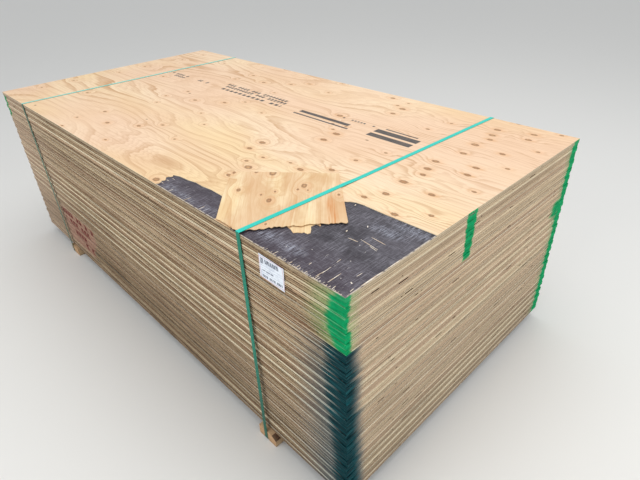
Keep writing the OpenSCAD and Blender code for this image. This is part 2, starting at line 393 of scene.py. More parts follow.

    # top of a sheet that stands out a little, and painted shade darkening the inside of the core gaps, walls and floors
    # paler and pinkish grey towards the far end of the long face
    pale = less(1.0, times(ease(less(x, -halfLength), 0.0, 0.7, 0.35, 0.0), less(1.0, onEnd)))
    colour = mix(pale, edgeLook["farPinkGrey"], colour)
    ledge = mix(times(fibres, 0.3), edgeLook["ledge"], edgeLook["glue"])
    colour = mix(times(up, less(1.0, times(worn, 0.8))), colour, ledge)
    depth = calc("MINIMUM", less(halfLength, size(x)), less(halfWidth, size(y)))
    hollowShade = times(ease(depth, 0.0042, 0.0052), calc("LESS_THAN", z, stackHigh - 0.002))
    hollowShade = most(hollowShade, times(up, within(rise, 0.15, 0.85, 0.02)))
    colour = mix(hollowShade, colour, edgeLook["hollowShade"])
    height = less(add(times(fibres, less(1.0, endGrain)), times(sawn, endGrain)), add(glue, slitShade))
    return colour, height, most(bright, up)


# sprayed marks on the corners and one end, with ragged streaks along the sheets

paint = dict(
    green=shade(0, 160, 98), greenDark=shade(0, 126, 74), teal=shade(0, 40, 46), tealPale=shade(26, 86, 92),
    smoke=shade(78, 94, 104), spray=shade(96, 178, 100), greenPale=shade(110, 214, 160),
    chalk=shade(218, 230, 226), blotMiddle=(0.548, 0.262), blotSize=(0.050, 0.046),
    greenDepth=0.1763, greenWidth=0.028, greenBelly=0.034, greenEnd=0.028,
    greenEdge=(0.85, 0.5, 0.36, 0.2, 0.55, 0.72, 0.62),  # shares of greenEnd from the top down
    tealWidth=(0.092, 0.066), haze=0.25, tealEnd=(0.047, 0.066), ragged=0.030,
    stripeMiddle=-0.097, stripeHalf=(0.026, 0.019), stripeDepth=0.168,
    backWidth=0.048, farWidth=0.030, farDepth=(0.018, 0.12), skin=0.006,
)


def paintOver(colour, where, normal, bright):
    x, y, z = split(where)
    up, onEnd = facing(where, normal)
    onLong = times(less(1.0, onEnd), calc("LESS_THAN", y, paint["skin"] - halfWidth))
    onBack = times(less(1.0, onEnd), calc("GREATER_THAN", y, halfWidth - paint["skin"]))
    along = blendValue(onEnd, x, y)
    onEnd = times(onEnd, calc("GREATER_THAN", x, halfLength - paint["skin"]))
    number = calc("FLOOR", calc("DIVIDE", less(z, stackLow), sheetPitch))
    down = less(stackHigh, z)
    fromEnd = less(halfLength, x)
    fromLong = add(y, halfWidth)
    streak = noise(vector(times(along, 14.0), times(z, 210.0), 2.0), 1.0, 3.0, 0.6)
    step = chance(vector(number, 2.0, onEnd))
    wobble = times(add(less(streak, 0.5), times(less(step, 0.5), 0.35)), paint["ragged"])

    # green at the top of the near corner, widest halfway down its patch
    upper = calc("LESS_THAN", down, paint["greenDepth"])
    sag = calc("DIVIDE", down, paint["greenDepth"])
    belly = times(times(sag, less(1.0, sag)), 4.0 * paint["greenBelly"])
    reach = less(add(fromEnd, times(wobble, 1.4)), add(belly, paint["greenWidth"]))
    greenLong = ease(reach, -0.006, 0.014, 1.0, 0.0)
    last = len(paint["greenEdge"]) - 1
    edge = ramp(sag, [(k / last, (v, v, v, 1.0)) for k, v in enumerate(paint["greenEdge"])])
    greenEnd = less(add(fromLong, times(wobble, 0.8)), times(split(edge)[0], paint["greenEnd"]))
    greenEnd = ease(greenEnd, -0.004, 0.005, 1.0, 0.0)
    green = times(add(times(onLong, greenLong), times(onEnd, greenEnd)), upper)
    spray = add(times(onLong, ease(reach, -0.02, 0.11, 0.75, 0.0)), times(onEnd, ease(fromLong, 0.01, 0.06, 0.55, 0.0)))
    spray = times(times(spray, upper), ease(streak, 0.35, 0.6, 0.25, 1.0))
    spray = times(spray, less(1.0, times(bright, 0.6)))
    colour = mix(spray, colour, mix(0.8, colour, paint["spray"]))

    # stripe on the end, back corner and far corner
    half = ease(down, 0.0, paint["stripeDepth"], *paint["stripeHalf"])
    fromStripe = less(size(less(add(y, times(wobble, 0.3)), paint["stripeMiddle"])), half)
    stripe = times(ease(fromStripe, -0.004, 0.004, 1.0, 0.0),
                   ease(add(down, wobble), paint["stripeDepth"] - 0.006, paint["stripeDepth"] + 0.004, 1.0, 0.0))
    backEnd = less(add(less(halfWidth, y), times(wobble, 0.8)), paint["backWidth"])
    backSide = less(add(fromEnd, wobble), paint["backWidth"])
    back = add(times(onEnd, ease(backEnd, -0.008, 0.006, 1.0, 0.0)),
               times(onBack, ease(backSide, -0.01, 0.016, 1.0, 0.0)))
    back = most(back, times(onEnd, ease(backEnd, -0.01, 0.05, 0.3, 0.0)))
    farEdge = less(add(add(x, halfLength), wobble), paint["farWidth"])
    far = times(times(onLong, ease(farEdge, -0.008, 0.008, 1.0, 0.0)), within(down, *paint["farDepth"], 0.012))
    blotY = calc("DIVIDE", less(add(y, wobble), paint["blotMiddle"][0]), paint["blotSize"][0])
    blotDown = calc("DIVIDE", less(down, paint["blotMiddle"][1]), paint["blotSize"][1])
    blot = times(onEnd, ease(vecCalc("LENGTH", vector(blotY, blotDown)), 0.5, 1.15, 1.0, 0.0))
    for more in (times(onEnd, stripe), back, far, blot):
        green = most(green, more)
    worn = ease(grain(along, z, 60.0, 700.0, 3.0, 0.7), 0.2, 0.5, 0.82, 1.0)
    bare = less(1.0, times(times(bright, 0.6), ease(fromEnd, 0.012, 0.075)))
    greenCover = calc("MULTIPLY", times(green, worn), less(1.0, times(times(bright, onLong), 0.1)), clamp=True)
    patches = add(times(streak, 0.7), times(noise(where, 60.0, 2.0), 0.3))
    cover = mix(ease(patches, 0.36, 0.6), paint["greenDark"], paint["green"])
    cover = mix(times(times(bright, onLong), ease(streak, 0.4, 0.6, 0.1, 0.42)), cover, paint["greenPale"])
    colour = mix(greenCover, colour, cover)

    # teal below it, thinning out to a grey haze along the long face
    lower = less(1.0, upper)
    width = ease(down, 0.25, 0.7, *paint["tealWidth"])
    reach = less(add(fromEnd, times(wobble, 1.6)), width)
    haze = times(ease(fromEnd, 0.03, paint["haze"], 0.72, 0.0), ease(down, 0.16, 0.34, 0.35, 1.0))
    haze = times(haze, ease(streak, 0.25, 0.65, 0.55, 1.0))
    colour = mix(times(times(times(haze, onLong), lower), bare), colour, paint["smoke"])
    colour = mix(times(times(bright, onLong), times(lower, ease(fromEnd, 0.0, 0.3, 0.45, 0.0))), colour, paint["chalk"])
    tealLong = most(ease(reach, -0.034, 0.016, 1.0, 0.0), ease(reach, -0.02, 0.09, 0.4, 0.0))
    endWidth = ease(down, 0.18, 0.75, *paint["tealEnd"])
    tealEnd = less(add(fromLong, times(wobble, 1.3)), endWidth)
    tealHaze = times(times(ease(tealEnd, -0.02, 0.024, 0.75, 0.0), ease(streak, 0.3, 0.6, 0.4, 1.0)), times(onEnd, lower))
    colour = mix(tealHaze, colour, paint["smoke"])
    tealEnd = times(ease(tealEnd, -0.030, 0.012, 1.0, 0.0), blendValue(ease(tealEnd, -0.04, -0.01), 1.0, ease(streak, 0.3, 0.6, 0.55, 1.0)))
    teal = times(add(times(onLong, tealLong), times(onEnd, tealEnd)), lower)
    teal = calc("MULTIPLY", times(teal, worn), bare, clamp=True)
    fine = noise(vector(times(along, 9.0), times(z, 420.0), 6.0), 1.0, 2.0, 0.5)
    fine = ease(fine, 0.46, 0.68)
    fine = most(fine, times(times(onEnd, ease(fromLong, 0.01, 0.05)), ease(streak, 0.42, 0.6, 0.0, 0.9)))
    return mix(teal, colour, mix(fine, paint["teal"], paint["tealPale"]))


# plain dashes where the stack is stencilled

stencil = dict(
    left=-0.858, right=-0.459, top=0.536, rowHeight=0.034, rowStep=0.050,
    rows=((-0.855, -0.463), (-0.837, -0.520), (-0.803, -0.600), (-0.665, -0.530)),  # left and right of each
    dash=0.036, gap=0.24, colour=shade(98, 26, 26), haze=shade(184, 134, 122),
)


def stencilOver(colour, where, normal):
    x, y, z = split(where)
    up, onEnd = facing(where, normal)
    onLong = times(less(1.0, onEnd), calc("LESS_THAN", y, 0.0))
    down = less(less(stackHigh, z), stencil["top"])
    row = calc("FLOOR", calc("DIVIDE", down, stencil["rowStep"]))
    inRow = less(down, times(row, stencil["rowStep"]))
    rowMask = within(inRow, 0.0, stencil["rowHeight"], 0.0015)
    dashes = calc("DIVIDE", less(x, stencil["left"]), stencil["dash"])
    inDash = calc("FRACT", dashes)
    dashMask = within(inDash, stencil["gap"] / 2, 1 - stencil["gap"] / 2, 0.03)
    keep = calc("GREATER_THAN", chance(vector(calc("FLOOR", dashes), row, 4.0)), 0.22)
    inside = 0.0
    for count, (left, right) in enumerate(stencil["rows"]):
        inside = most(times(within(x, left, right, 0.001), calc("COMPARE", row, float(count), 0.5)), inside)
    worn = ease(grain(x, z, 40.0, 500.0, 3.0, 0.7), 0.35, 0.6, 0.55, 0.95)
    mask = times(times(times(rowMask, dashMask), times(keep, inside)), times(worn, onLong))
    tall = stencil["rowStep"] * len(stencil["rows"])
    reach = add(x, times(ease(down, 0.05, 0.2), 0.09))
    around = times(ease(x, stencil["left"] - 0.02, stencil["left"] + 0.02),
                   ease(reach, stencil["right"] - 0.02, stencil["right"] + 0.02, 1.0, 0.0))
    around = times(around, within(down, 0.0, tall, 0.02))
    colour = mix(times(times(around, onLong), 0.4), colour, stencil["haze"])
    return mix(mask, colour, stencil["colour"])


def dressSheets():
    material, surface = startMaterial("plywoodEdge", 0.85, 0.1)
    where, normal = place()
    colour, height, bright = edgeColour(where, normal)
    colour = stencilOver(colour, where, normal)
    plug(paintOver(colour, where, normal, bright), surface.inputs["Base Color"])
    plug(bump(height, 0.0004, 0.6), surface.inputs["Normal"])
    dress(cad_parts["plywood_sheets"], material)


# face veneer of the top sheet: peeled from the log, so its knots come back every turn

faceLook = dict(
    light=shade(243, 219, 186), mid=shade(233, 200, 160), pink=shade(235, 201, 172),
    gold=shade(240, 213, 164), late=shade(192, 146, 102), blush=shade(206, 156, 110), halo=shade(228, 184, 142),
    knotRim=shade(98, 64, 40), knotCore=shade(166, 122, 82), heart=shade(204, 164, 120), pin=shade(116, 80, 52),
    turn=0.3775, driftAcross=0.0594, slant=0.0372, slantAlong=-0.0217, straight=(0.35, 0.8), cloud=1.0,
)
# place along the sheet, place in the turn, half length in metres, and how faint each knot is
knots = [
    (1.087, 0.069, 0.012, 0.1), (1.095, 0.129, 0.011, 0.0), (0.963, 0.108, 0.013, 0.1),
    (0.978, 0.169, 0.012, 0.0), (0.994, 0.212, 0.011, 0.1), (1.171, 0.210, 0.010, 0.3),
    (0.981, 0.286, 0.013, 0.0), (1.092, 0.299, 0.011, 0.1), (0.993, 0.375, 0.011, 0.0),
    (1.163, 0.014, 0.010, 0.2), (0.411, 0.043, 0.013, 0.2), (0.513, 0.061, 0.009, 0.3),
    (0.541, 0.137, 0.014, 0.0), (0.495, 0.112, 0.009, 0.2), (0.548, 0.207, 0.012, 0.1),
    (0.764, 0.264, 0.010, 0.2), (0.402, 0.362, 0.013, 0.0), (-0.055, 0.118, 0.010, 0.3),
    (-0.120, 0.181, 0.011, 0.2), (-0.258, 0.243, 0.012, 0.2), (-0.413, 0.191, 0.010, 0.2),
    (-0.429, 0.293, 0.009, 0.3), (-0.069, 0.324, 0.008, 0.3), (-0.365, 0.368, 0.008, 0.3),
    (0.126, 0.164, 0.008, 0.3), (0.068, 0.013, 0.008, 0.3), (-0.782, 0.125, 0.010, 0.3),
    (-1.082, 0.081, 0.010, 0.3), (-1.067, 0.232, 0.009, 0.3), (0.797, 0.157, 0.009, 0.3),
    (0.761, 0.366, 0.009, 0.4),
]
# knots that show only once: along and across the stack, half length in metres, and how faint
loneKnots = [(0.663, -0.232, 0.012, 0.0), (0.743, -0.166, 0.011, 0.0), (0.945, -0.237, 0.010, 0.0),
             (0.598, -0.218, 0.008, 0.2), (0.532, 0.005, 0.013, 0.0)]


def knotDistance(along, across, spots, turn=None):
    # distance to the nearest knot, with 1 at its rim, and the same drawn out along the grain
    nearest = trail = 9.0
    here = vector(along, across)
    for knotAlong, knotAcross, reach, faint in spots:
        scale = (0.86 / reach, 1.3 / reach, 0.0)
        shift = (-knotAlong * scale[0], -knotAcross * scale[1], 0.0)
        apart = vecCalc("MULTIPLY_ADD", here, scale, shift)
        if turn:
            half = turn / 2 * scale[1]
            apart = vecCalc("WRAP", apart, (1e4, half, 1.0), (-1e4, -half, -1.0))
        nearest = calc("MINIMUM", add(vecCalc("LENGTH", apart), faint), nearest)
        drawn = vecCalc("LENGTH", vecCalc("MULTIPLY", apart, (0.42, 1.3, 1.0)))
        trail = calc("MINIMUM", add(drawn, faint), trail)
    return nearest, trail


def veneerColour(where, along, across, knotShape, look, ringCount, seed, straight=None):
    around, trail = knotShape
    rough = add(around, times(less(noise(where, 170.0, 3.0, 0.65), 0.5), 0.9))
    swell = calc("POWER", 2.718, times(times(around, around), -0.11))
    wander = grain(along, across, 2.4, 60.0, 2.0, 0.5, seed)
    figure = noise(vector(times(along, 0.8), times(across, 3.6), seed), 1.0, 1.2, 0.4, 0.3)
    rings = add(add(times(figure, ringCount), times(swell, 2.0)), times(across, 14.0))
    rings = add(rings, times(wander, 0.5))
    ring = calc("FRACT", rings)
    line = times(ease(ring, 0.5, 0.92), ease(ring, 0.93, 1.0, 1.0, 0.0))
    lineChance = chance(vector(calc("FLOOR", rings), seed, 1.0))
    patchy = ease(grain(along, across, 1.2, 2.6, 2.0, 0.5, seed + 3.0), 0.35, 0.62, 0.3, 1.0)
    line = times(line, times(add(times(lineChance, 0.7), 0.3), patchy))
    inner = calc("FRACT", times(rings, 4.0))
    line = add(line, times(times(ease(inner, 0.35, 0.95), ease(inner, 0.95, 1.0, 1.0, 0.0)), times(patchy, 0.3)))
    if straight:
        # straighter and closer lines towards the end of the sheet
        lean = noise(vector(times(along, 1.1), times(across, 1.6), seed + 5.0), 1.0, 2.0, 0.5)
        close = add(add(times(across, 50.0), times(lean, 22.0)), add(times(swell, 1.8), times(wander, 1.6)))
        closeLine = calc("FRACT", close)
        closeChance = chance(vector(calc("FLOOR", close), seed, 2.0))
        broken = ease(grain(along, across, 3.0, 9.0, 2.0, 0.5, seed + 9.0), 0.38, 0.62, 0.25, 1.0)
        closeLine = times(times(ease(closeLine, 0.3, 0.88), ease(closeLine, 0.88, 1.0, 1.0, 0.0)),
                          times(add(times(closeChance, 0.7), 0.2), broken))
        line = blendValue(ease(along, *straight), line, closeLine)
    streaks = grain(along, across, 8.0, 620.0, 3.0, 0.62, seed)
    fine = grain(along, across, 3.2, 150.0, 2.0, 0.5, seed + 1.0)
    patches = grain(along, across, 1.3 * look["cloud"], 2.8 * look["cloud"], 3.0, 0.55, seed + 7.0)
    warm = grain(along, across, 0.9 * look["cloud"], 1.7 * look["cloud"], 2.0, 0.5, seed + 11.0)

    colour = mix(ease(patches, 0.35, 0.65), look["light"], look["mid"])
    colour = mix(ease(warm, 0.4, 0.62, 0.0, 0.75), colour, look["pink"])
    colour = mix(ease(warm, 0.34, 0.46, 0.6, 0.0), colour, look["gold"])
    colour = mix(calc("MULTIPLY", line, 0.75, clamp=True), colour, look["late"])
    colour = mix(ease(fine, 0.48, 0.72, 0.0, 0.28), colour, look["late"])
    colour = mix(ease(streaks, 0.46, 0.74, 0.0, 0.28), colour, look["late"])

    # a knot pulls the colour of the wood around it and leaves brown tails along the grain
    colour = mix(times(ease(rough, 0.9, 3.4, 0.6, 0.0), ease(fine, 0.36, 0.6, 0.4, 1.0)), colour, look["halo"])
    tails = times(ease(trail, 0.4, 1.4, 0.48, 0.0), ease(fine, 0.4, 0.6, 0.1, 1.0))
    colour = mix(tails, colour, look["blush"])
    core = ease(rough, 0.5, 1.2, 1.0, 0.0)
    rim = times(ease(rough, 0.4, 0.75), ease(rough, 0.78, 1.15, 1.0, 0.0))
    heart = times(ease(rough, 0.15, 0.6, 1.0, 0.0), ease(noise(where, 7.0), 0.46, 0.56))
    colour = mix(times(core, 0.85), colour, look["knotCore"])
    colour = mix(times(rim, 0.45), colour, look["knotRim"])
    colour = mix(times(heart, 0.7), colour, look["heart"])
    pins = cells(vector(times(along, 4.4), times(across, 7.5), seed), 1.0)
    colour = mix(ease(pins, 0.03, 0.055, 0.75, 0.0), colour, look["pin"])
    height = less(times(streaks, 0.6), add(times(line, 0.2), core))
    return colour, height


# plain marks where the face is printed: left, right, low, high, rows and dash length in metres
inkMarks = [
    (-0.845, -0.682, 0.138, 0.190, 2, 0.020), (-0.581, -0.488, 0.160, 0.190, 1, 0.018),
    (-0.385, 0.101, 0.186, 0.242, 2, 0.022), (-0.385, 0.101, 0.150, 0.176, 1, 0.034),
    (0.416, 0.638, 0.225, 0.240, 1, 0.016),
]
# solid bars: left, right, low, high
inkBars = [
    (0.207, 0.522, 0.140, 0.150), (0.215, 0.500, 0.168, 0.190), (0.615, 0.815, 0.146, 0.176),
    (0.615, 0.815, 0.190, 0.222), (0.640, 0.790, 0.234, 0.242),
]
ink = dict(colour=shade(62, 66, 70), strength=0.97)


def inkOver(colour, x, y):
    marks = 0.0
    for left, right, low, high, rows, dash in inkMarks:
        step = (high - low) / rows
        row = calc("DIVIDE", less(y, low), step)
        inRow = within(calc("FRACT", row), 0.12, 0.82, 0.05)
        dashes = calc("DIVIDE", less(x, left), dash)
        inDash = within(calc("FRACT", dashes), 0.1, 0.72, 0.04)
        keep = calc("GREATER_THAN", chance(vector(calc("FLOOR", dashes), calc("FLOOR", row), left)), 0.2)
        area = times(within(x, left, right, 0.001), within(y, low, high, 0.001))
        marks = most(times(times(inRow, inDash), times(keep, area)), marks)
    for left, right, low, high in inkBars:
        marks = most(times(within(x, left, right, 0.0015), within(y, low, high, 0.0015)), marks)
    worn = ease(grain(x, y, 20.0, 420.0, 3.0, 0.7), 0.3, 0.6, 0.8, 1.0)
    return mix(times(times(marks, worn), ink["strength"]), colour, ink["colour"])


# dark glued layer that shows where the face veneer is torn away

filmLook = dict(
    dark=shade(50, 46, 52), mid=shade(82, 78, 85), furrow=shade(34, 30, 36), haze=shade(138, 136, 144),
    bloom=shade(186, 190, 204), fleck=shade(232, 226, 218), purple=shade(70, 55, 68), rim=shade(218, 204, 184),
    rimWidth=0.0014, stay=(0.722, 0.797), stayWidth=0.0085,
)
# pale worn spots: along, across, half length and half width
filmHaze = [
    (1.170, -0.296, 0.070, 0.024), (1.120, -0.340, 0.060, 0.024), (0.900, -0.560, 0.060, 0.026),
    (0.985, -0.560, 0.050, 0.022), (0.665, -0.592, 0.040, 0.018), (0.455, -0.590, 0.040, 0.014),
    (0.540, -0.592, 0.050, 0.012),
]


def filmColour(where):
    x, y, z = split(where)
    blotch = noise(where, 8.0, 5.0, 0.65)
    lengthwise = grain(x, y, 26.0, 230.0, 4.0, 0.75)
    across = grain(x, y, 250.0, 24.0, 4.0, 0.75)
    weave = most(ease(lengthwise, 0.5, 0.68, 0.0, 0.8), ease(across, 0.48, 0.66))
    furrow = most(ease(lengthwise, 0.3, 0.46, 0.7, 0.0), ease(across, 0.3, 0.46, 0.8, 0.0))
    patchy = ease(noise(where, 16.0, 3.0, 0.6), 0.35, 0.65, 0.35, 1.0)
    colour = mix(ease(blotch, 0.32, 0.68), filmLook["dark"], filmLook["mid"])
    fromLong = add(y, halfWidth)
    fromEnd = less(halfLength, x)
    colour = mix(ease(fromLong, 0.03, 0.16, 0.45, 0.0), colour, filmLook["purple"])
    colour = mix(times(furrow, 0.85), colour, filmLook["furrow"])
    colour = mix(times(times(weave, patchy), 0.7), colour, filmLook["haze"])
    worn = 0.0
    for spotX, spotY, reachX, reachY in filmHaze:
        apart = vecCalc("MULTIPLY_ADD", vector(x, y), (1 / reachX, 1 / reachY, 0), (-spotX / reachX, -spotY / reachY, 0))
        worn = most(ease(vecCalc("LENGTH", apart), 0.1, 1.5, 1.0, 0.0), worn)
    crossing = most(ease(across, 0.44, 0.62), ease(lengthwise, 0.5, 0.66, 0.0, 0.8))
    colour = mix(times(times(worn, crossing), 0.5), colour, filmLook["bloom"])
    scratch = ease(add(grain(x, y, 420.0, 16.0, 2.0, 0.6, 2.0), ease(fromLong, 0.0, 0.16, 0.05, 0.0)), 0.735, 0.76)
    flecks = ease(cells(vector(times(x, 46.0), times(y, 46.0)), 1.0), 0.05, 0.09, 1.0, 0.0)
    flecks = times(flecks, ease(noise(where, 24.0), 0.53, 0.6))
    colour = mix(times(most(scratch, flecks), 0.7), colour, filmLook["fleck"])
    # broken light line where fibres of the face are left along the edges
    toEdge = calc("MINIMUM", fromLong, fromEnd)
    left = ease(noise(where, 70.0, 3.0, 0.6), 0.36, 0.56, 0.15, 1.0)
    rim = times(ease(toEdge, filmLook["rimWidth"], filmLook["rimWidth"] + 0.0012, 1.0, 0.0), left)
    colour = mix(times(rim, 0.75), colour, filmLook["rim"])
    # a strip of the face that still holds beside the loose veneer
    stay = times(within(x, *filmLook["stay"], 0.004), calc("LESS_THAN", fromLong, filmLook["stayWidth"]))
    colour = mix(stay, colour, faceLook["mid"])
    height = add(times(weave, 0.5), add(scratch, rim))
    return colour, height


def dressTopSheet():
    material, surface = startMaterial("topSheet", 0.7, 0.3)
    where, normal = place()
    x, y, z = split(where)
    nx, ny, nz = split(normal)
    edge, edgeHeight, bright = edgeColour(where, normal)
    edge = paintOver(edge, where, normal, bright)
    fromBack = less(halfWidth, y)
    turned = times(fromBack, less(1.0, times(fromBack, faceLook["driftAcross"])))
    shifted = add(x, times(fromBack, add(times(x, faceLook["slantAlong"]), faceLook["slant"])))
    turning = knotDistance(shifted, turned, knots, faceLook["turn"])
    knotShape = [calc("MINIMUM", a, b) for a, b in zip(turning, knotDistance(x, y, loneKnots))]
    face, faceHeight = veneerColour(where, x, y, knotShape, faceLook, 13.0, 0.0, faceLook["straight"])
    face = inkOver(face, x, y)
    film, filmHeight = filmColour(where)
    onFace = ease(nz, 0.5, 0.6)
    torn = ease(z, stackHigh - 0.0009, stackHigh - 0.0005, 1.0, 0.0)
    colour = mix(onFace, edge, mix(torn, face, film))
    height = blendValue(onFace, edgeHeight, blendValue(torn, faceHeight, filmHeight))
    plug(colour, surface.inputs["Base Color"])
    plug(blendValue(times(onFace, torn), 0.7, 0.5), surface.inputs["Roughness"])
    plug(bump(height, 0.0004, 0.6), surface.inputs["Normal"])
    dress(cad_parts["top_sheet"], material)


dressSheets()
dressTopSheet()
print("sheets have their plies, paint, veneer and torn face")


# loose veneer and the splinter under it

flapLook = dict(faceLook, light=shade(244, 224, 184), mid=shade(216, 180, 134), pink=shade(222, 186, 146), cloud=4.5,
                late=shade(204, 152, 100), turnAngle=44.5, fan=shade(206, 136, 74))
# knots on the loose veneer: along and across the stack, half length in metres, and how faint
flapKnots = [
    (0.634, -0.461, 0.010, 0.1), (0.763, -0.307, 0.012, 0.0), (0.767, -0.337, 0.008, 0.3),
    (0.726, -0.393, 0.006, 0.2), (0.711, -0.435, 0.006, 0.2), (0.757, -0.442, 0.011, 0.0),
    (0.858, -0.536, 0.006, 0.2), (0.884, -0.280, 0.008, 0.3), (0.793, -0.320, 0.006, 0.3),
    (0.619, -0.312, 0.013, -0.2), (0.520, -0.395, 0.009, 0.2), (0.571, -0.342, 0.009, 0.1),
]
# brown fans by the torn corner: along, across, half length and half width
flapFans = [(0.945, -0.372, 0.085, 0.020), (0.905, -0.335, 0.06, 0.014), (0.980, -0.395, 0.06, 0.012)]


def dressLooseVeneer():
    material, surface = startMaterial("looseVeneer", 0.65, 0.3)
    where, normal = place()
    x, y, z = split(where)
    turn = math.radians(flapLook["turnAngle"])
    cosTurn, sinTurn = math.cos(turn), math.sin(turn)
    along = less(times(x, cosTurn), times(y, sinTurn))
    across = add(times(x, sinTurn), times(y, cosTurn))
    spots = [(knotX * cosTurn - knotY * sinTurn, knotX * sinTurn + knotY * cosTurn, reach, faint)
             for knotX, knotY, reach, faint in flapKnots]
    knotShape = knotDistance(along, across, spots)
    colour, height = veneerColour(where, along, across, knotShape, flapLook, 12.0, 4.0)
    for fanX, fanY, reachAlong, reachAcross in flapFans:
        fanAlong, fanAcross = fanX * cosTurn - fanY * sinTurn, fanX * sinTurn + fanY * cosTurn
        apart = vecCalc("MULTIPLY_ADD", vector(along, across), (1 / reachAlong, 1 / reachAcross, 0),
                        (-fanAlong / reachAlong, -fanAcross / reachAcross, 0))
        fan = ease(vecCalc("LENGTH", apart), 0.3, 1.2, 0.7, 0.0)
        fan = times(fan, ease(grain(along, across, 10.0, 260.0, 3.0, 0.6), 0.4, 0.6, 0.3, 1.0))
        colour = mix(fan, colour, flapLook["fan"])
    plug(colour, surface.inputs["Base Color"])
    plug(bump(height, 0.0004, 0.6), surface.inputs["Normal"])
    for name in ("loose_veneer", "veneer_splinter"):
        dress(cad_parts[name], material)


# fibres that stayed on the torn face: modelled once, then copied

slivers = dict(
    width=0.0014, length=0.03, thick=0.0005, lift=0.0001, faceStep=0.0016,
    combFrom=0.935, combTo=1.212, combCount=34, combEdge=-0.6095, seed=7,
    pale=shade(242, 232, 216), wood=shade(226, 204, 176), grain=shade(164, 128, 94),
)
# middle along, middle across, length in metres, width share and turn in degrees
placedSlivers = [
    (1.123, -0.602, 0.019, 1.0, 2), (1.119, -0.586, 0.031, 0.9, -2), (1.120, -0.566, 0.034, 0.8, 4),
    (1.154, -0.575, 0.046, 1.2, 1), (1.188, -0.528, 0.019, 0.9, -3), (1.115, -0.520, 0.018, 0.8, 5),
    (1.213, -0.581, 0.014, 1.1, 6), (1.073, -0.574, 0.010, 1.0, 3), (1.128, -0.390, 0.050, 1.0, 86),
    (1.077, -0.429, 0.033, 1.1, 95), (1.121, -0.418, 0.064, 1.0, 83), (1.140, -0.425, 0.030, 0.8, 80),
    (1.2185, -0.520, 0.076, 1.8, 0), (1.2195, -0.440, 0.050, 1.4, 0), (1.062, -0.355, 0.008, 2.0, 40),
    (1.036, -0.408, 0.008, 2.2, 10), (1.195, -0.563, 0.007, 2.0, 70), (0.958, -0.289, 0.009, 1.6, 20),
    (0.400, -0.590, 0.018, 1.0, 84), (0.398, -0.570, 0.014, 1.2, 96), (0.404, -0.552, 0.016, 0.8, 88),
    (0.470, -0.600, 0.020, 0.9, 4), (0.560, -0.596, 0.026, 0.8, -5), (0.640, -0.598, 0.022, 1.0, 3),
]


def modelSliver():
    bpy.ops.object.select_all(action="DESELECT")
    bpy.ops.mesh.primitive_cube_add(size=1.0)
    sliver = bpy.context.object
    sliver.scale = (slivers["width"], slivers["length"] * 0.5, slivers["thick"])
    bpy.ops.object.transform_apply(location=False, rotation=False, scale=True)
    bpy.ops.object.mode_set(mode="EDIT")
    bpy.ops.mesh.select_mode(type="FACE")
    for side, steps in ((1, ((0.15, 0.6), (0.10, 0.25))), (-1, ((0.15, 0.8), (0.10, 0.5)))):
        bpy.ops.mesh.select_all(action="DESELECT")
        bpy.ops.object.mode_set(mode="OBJECT")
        for face in sliver.data.polygons:
            face.select = face.normal.y * side > 0.9
        bpy.ops.object.mode_set(mode="EDIT")
        for reach, taper in steps:
            bpy.ops.mesh.extrude_region_move(
                TRANSFORM_OT_translate={"value": (0, side * reach * slivers["length"], 0)})
            bpy.ops.transform.resize(value=(taper, 1, 0.7))
    bpy.ops.object.mode_set(mode="OBJECT")
    return sliver


def addSlivers():
    model = modelSliver()
    picker = random.Random(slivers["seed"])
    spots = list(placedSlivers)
    span = slivers["combTo"] - slivers["combFrom"]
    for step in range(slivers["combCount"]):
        length = 0.004 + 0.014 * picker.random() ** 2
        spots.append((slivers["combFrom"] + span * (step + picker.random()) / slivers["combCount"],
                      slivers["combEdge"] + length / 2, length, picker.uniform(0.5, 1.2), picker.uniform(-12, 12)))
    floorZ = stackHigh - slivers["faceStep"] + slivers["lift"] + slivers["thick"] / 2
    copies = []
    for middleX, middleY, length, width, turn in spots:
        mesh = model.data.copy()
        stretch = Matrix.Diagonal((width, length / slivers["length"], 1, 1))
        spin = Matrix.Rotation(math.radians(turn), 4, "Z")
        mesh.transform(Matrix.Translation((middleX, middleY, floorZ)) @ spin @ stretch)
        copy = bpy.data.objects.new("sliverCopy", mesh)
        bpy.context.scene.collection.objects.link(copy)
        copies.append(copy)
    bpy.data.objects.remove(model)
    bpy.ops.object.select_all(action="DESELECT")
    for copy in copies:
        copy.select_set(True)
    bpy.context.view_layer.objects.active = copies[0]
    bpy.ops.object.join()
    piece = bpy.context.object
    piece.name = "torn_slivers"
    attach(piece, "root")
    material, surface = startMaterial("sliverWood", 0.7, 0.3)
    where, normal = place()
    x, y, z = split(where)
    tone = noise(where, 90.0, 2.0)
    colour = mix(ease(tone, 0.35, 0.65), slivers["pale"], slivers["wood"])
    plug(mix(ease(grain(x, y, 700.0, 40.0, 2.0), 0.5, 0.7, 0.0, 0.25), colour, slivers["grain"]),
         surface.inputs["Base Color"])
    plug(bump(tone, 0.0003, 0.5), surface.inputs["Normal"])
    dress(piece, material)


# sawn timber of the bearers, with bark left on the wane of the near one

bearerLook = dict(
    side=[(0.25, shade(164, 132, 98)), (0.75, shade(212, 182, 144))],
    sawn=[(0.2, shade(210, 174, 134)), (0.8, shade(172, 132, 94))], darkBrown=shade(112, 92, 72),
    bark=shade(74, 50, 36), barkLight=shade(120, 84, 58), ringSpan=0.0042,
    pithX=0.03, pithZ=-0.05, waneWidth=0.018, waneHeight=0.013,
)


